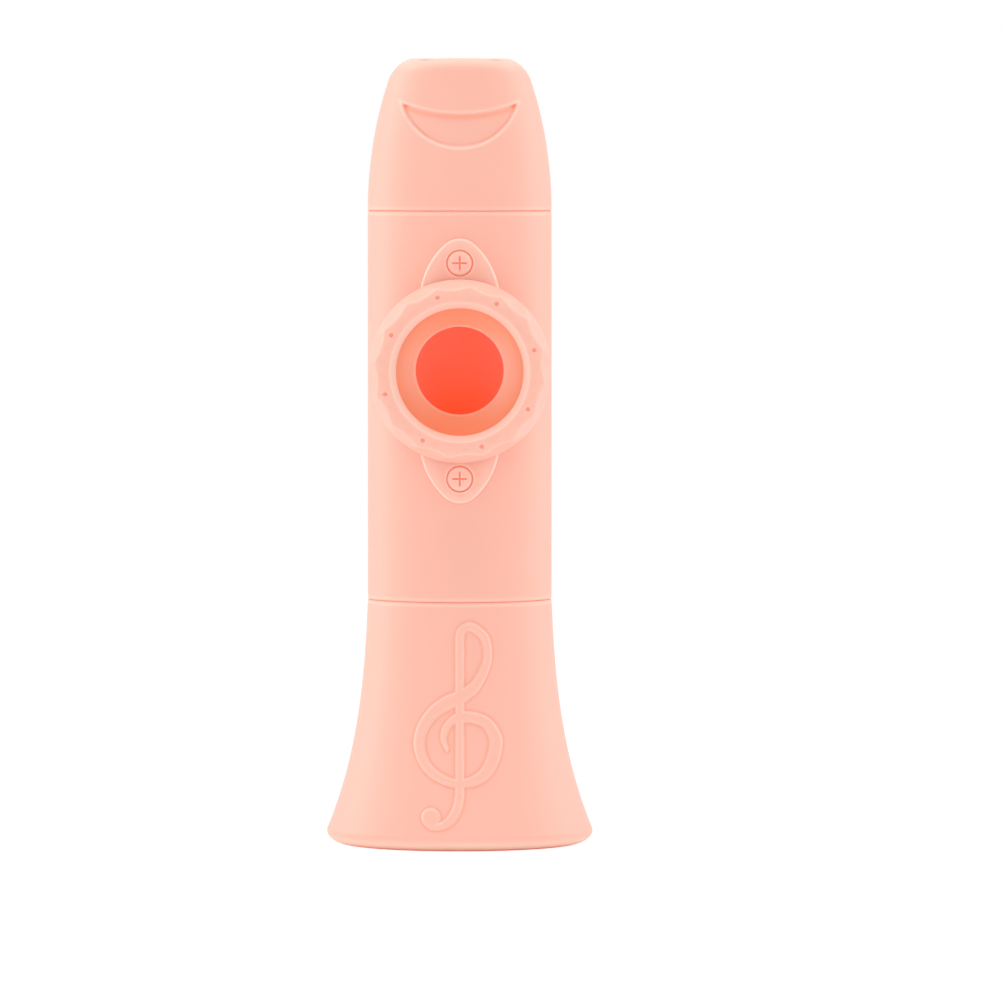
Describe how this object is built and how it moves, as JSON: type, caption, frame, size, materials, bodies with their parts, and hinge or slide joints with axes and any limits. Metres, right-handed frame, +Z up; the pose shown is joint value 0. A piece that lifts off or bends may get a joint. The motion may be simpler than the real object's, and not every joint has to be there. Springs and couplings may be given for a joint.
{
  "type": "kazoo",
  "caption": "Upright plastic kazoo: beaked mouthpiece, straight tube, flared bell and a membrane turret under a lobed screw cap.",
  "frame": {"origin": "centre of the bell's rim, on the plane it stands on", "axes": "+Z up the tube to the mouthpiece, -Y the way the turret faces, +X to the right of someone who faces the turret"},
  "size_m": [0.0366, 0.0383, 0.108],
  "materials": {
    "body_plastic": "moulded coral-pink plastic, satin gloss",
    "film": "thin clear film"
  },
  "bodies": {
    "body": {"body_tube": "body_plastic", "mouthpiece": "body_plastic", "bell": "body_plastic", "turret_plate": "body_plastic", "upper_screw": "body_plastic", "lower_screw": "body_plastic"},
    "diaphragm": {"membrane": "film", "membrane_ring": "body_plastic"},
    "cap": {"cap": "body_plastic"}
  },
  "joints": [
    {"name": "diaphragm_lift", "type": "slide", "parent": "body", "child": "diaphragm", "axis": [0, -1, 0], "range_m": [0, 0.005]},
    {"name": "cap_turn", "type": "hinge", "parent": "diaphragm", "child": "cap", "pos_m": [0, -0.0141, 0.0654], "axis": [0, -1, 0], "range_deg": [0, 900]}
  ],
  "couplings": [
    {"joint": "cap_turn", "follows": "diaphragm_lift", "rad_per_m": 3141.5}
  ]
}
